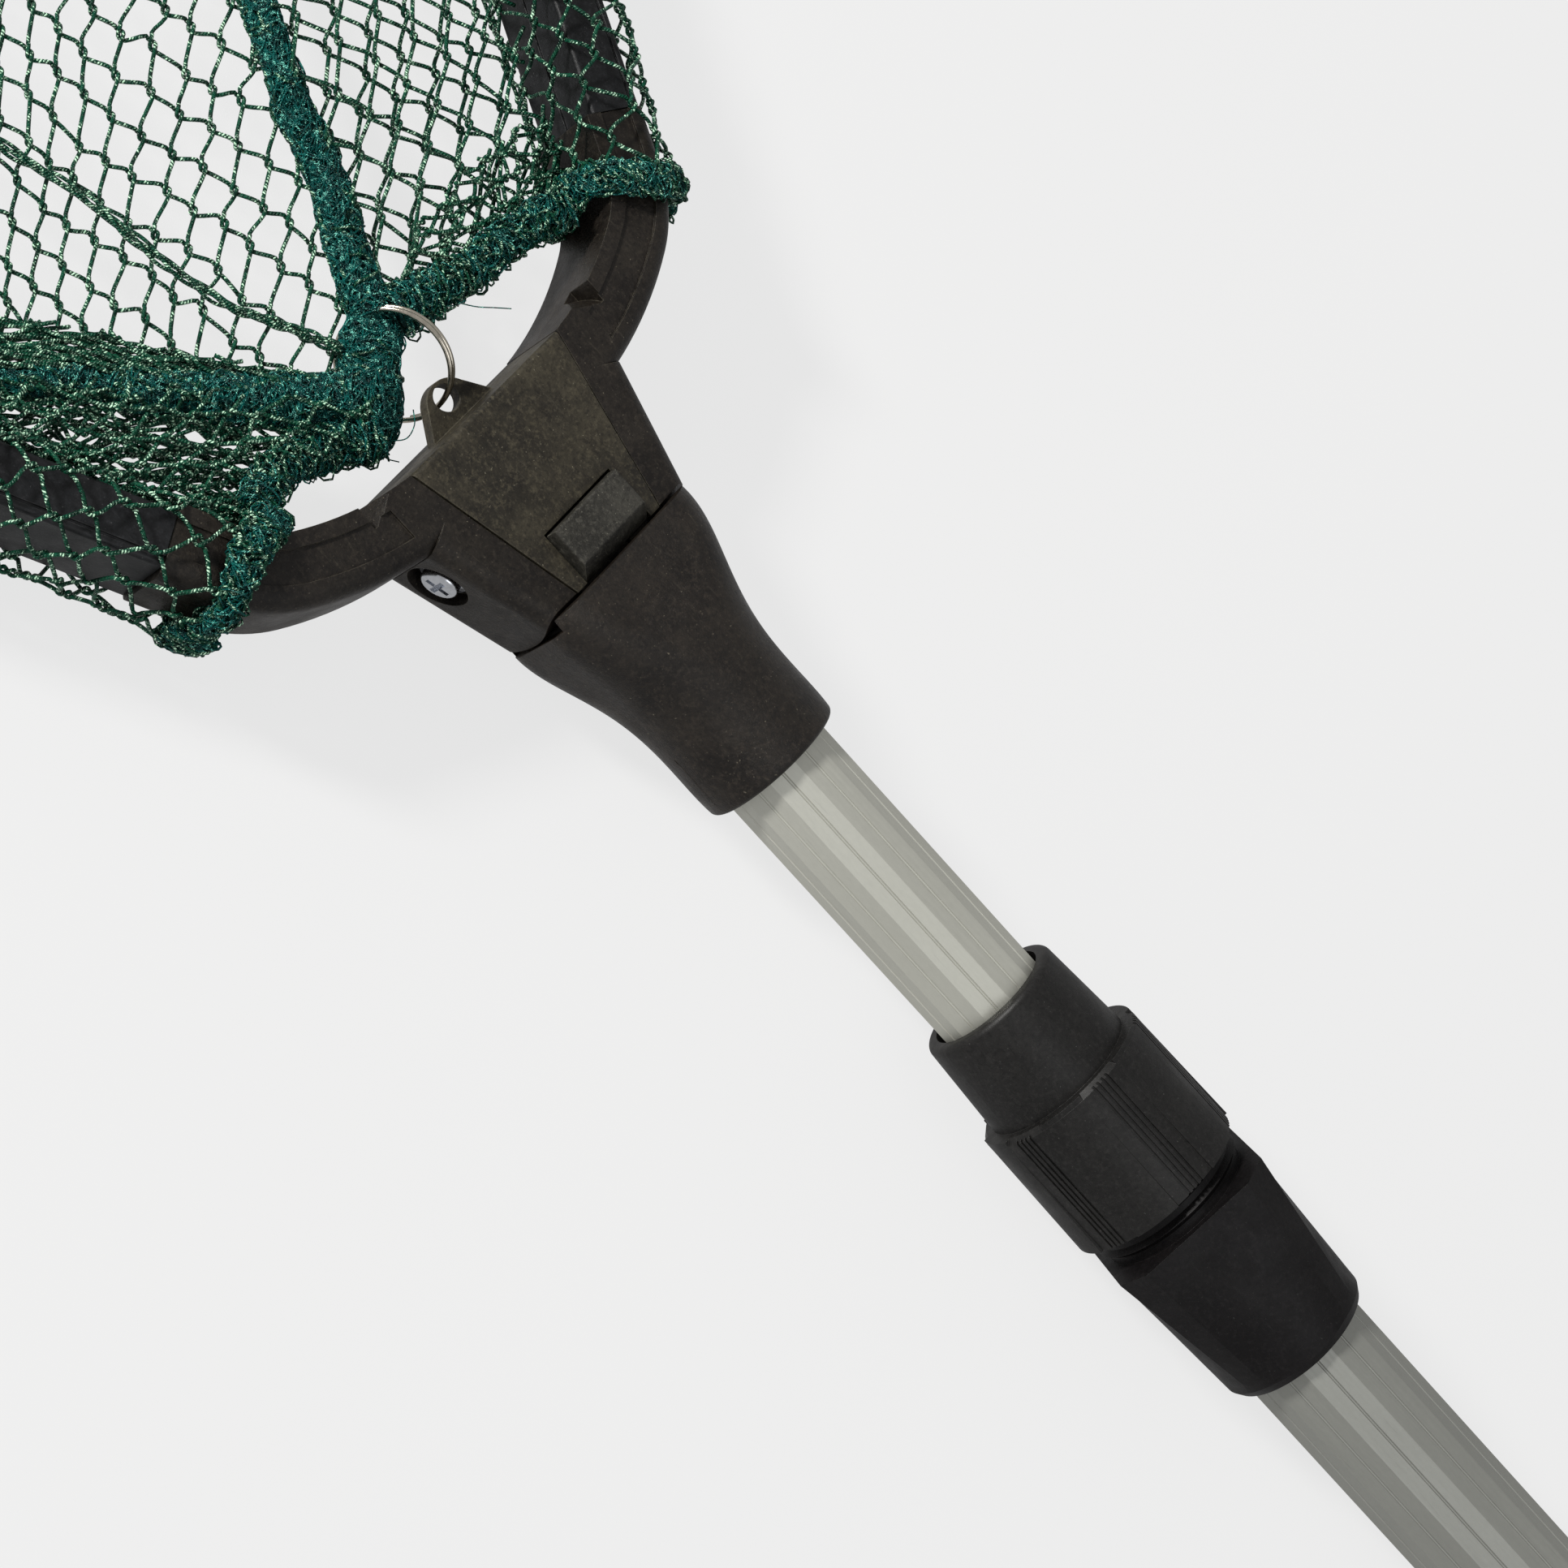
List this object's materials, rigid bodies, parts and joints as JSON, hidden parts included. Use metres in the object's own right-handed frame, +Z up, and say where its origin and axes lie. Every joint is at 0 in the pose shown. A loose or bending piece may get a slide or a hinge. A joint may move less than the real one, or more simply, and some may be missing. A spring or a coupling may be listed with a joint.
{
  "type": "landing net",
  "caption": "Folding landing net with a telescopic handle, a twist lock, a press-button yoke and two hinged arms that carry a knotted net bag.",
  "frame": {"origin": "on the surface that the net lies on, under the middle of its overall box", "axes": "+X along the handle from the butt end to the net, +Y across the hoop, +Z up, square to the hoop"},
  "size_m": [1.2016, 0.5094, 0.0394],
  "materials": {
    "outer_aluminium": "satin anodised, drawn lengthways",
    "inner_aluminium": "satin anodised, drawn lengthways",
    "lock_plastic": "fine matt moulding",
    "grip_rubber": "matt moulded rubber",
    "black_plastic": "spark-textured moulding, slightly glossy",
    "yoke_plastic": "olive-brown glass-filled moulding, mottled",
    "button_plastic": "coarse spark texture",
    "rail_coating": "satin, black anodised, drawn lengthways",
    "bright_steel": "bright zinc and nickel plating",
    "green_netting": "shiny twisted nylon twine"
  },
  "bodies": {
    "handle": {"outer_tube": "outer_aluminium", "lock_collar": "lock_plastic", "collet": "lock_plastic", "butt_grip": "grip_rubber", "end_cap": "lock_plastic"},
    "lock_nut": {"lock_nut": "lock_plastic"},
    "extension": {"inner_tube": "inner_aluminium", "tube_plug": "lock_plastic", "head_socket": "black_plastic", "socket_pin": "bright_steel"},
    "yoke": {"yoke_block": "yoke_plastic", "stop_pin": "bright_steel", "pivot_screws": "bright_steel", "pivot_washers": "bright_steel", "pivot_nuts": "bright_steel", "latch_spring": "bright_steel"},
    "latch": {"latch_button": "button_plastic"},
    "ring": {"split_ring": "bright_steel"},
    "arm_left": {"elbow_left": "black_plastic", "rail_left": "rail_coating", "rail_pin_left": "bright_steel", "tip_cap_left": "black_plastic", "arm_sleeve_left": "green_netting", "net_left": "green_netting"},
    "arm_right": {"elbow_right": "black_plastic", "rail_right": "rail_coating", "rail_pin_right": "bright_steel", "tip_cap_right": "black_plastic", "arm_sleeve_right": "green_netting", "net_right": "green_netting"}
  },
  "joints": [
    {"name": "lock_nut_twist", "type": "hinge", "parent": "handle", "child": "lock_nut", "pos_m": [0.04466, 0, 0.01968], "axis": [1, 0, 0], "range_deg": [0, 120]},
    {"name": "extension_slide", "type": "slide", "parent": "handle", "child": "extension", "axis": [1, 0, 0], "range_m": [-0.054, 0.42]},
    {"name": "head_slide", "type": "slide", "parent": "extension", "child": "yoke", "axis": [1, 0, 0], "range_m": [0, 0.014]},
    {"name": "latch_press", "type": "slide", "parent": "yoke", "child": "latch", "axis": [0, 0, -1], "range_m": [0, 0.003], "stiffness_N_per_m": 600, "springref_m": -0.002, "deforming": ["latch_spring"]},
    {"name": "ring_swing", "type": "hinge", "parent": "yoke", "child": "ring", "pos_m": [0.21125, 0, 0.01968], "axis": [0, 0.866, 0.5], "range_deg": [-15, 10]},
    {"name": "arm_left_fold", "type": "hinge", "parent": "yoke", "child": "arm_left", "pos_m": [0.19272, 0.01537, 0.01918], "axis": [0.2377, -0.9713, 0], "range_deg": [0, 180], "deforming": ["net_left"]},
    {"name": "arm_right_fold", "type": "hinge", "parent": "yoke", "child": "arm_right", "pos_m": [0.19272, -0.01537, 0.01918], "axis": [-0.2377, -0.9713, 0], "range_deg": [0, 180], "deforming": ["net_right"]}
  ],
  "couplings": [
    {"joint": "arm_right_fold", "follows": "arm_left_fold", "ratio": 1}
  ]
}
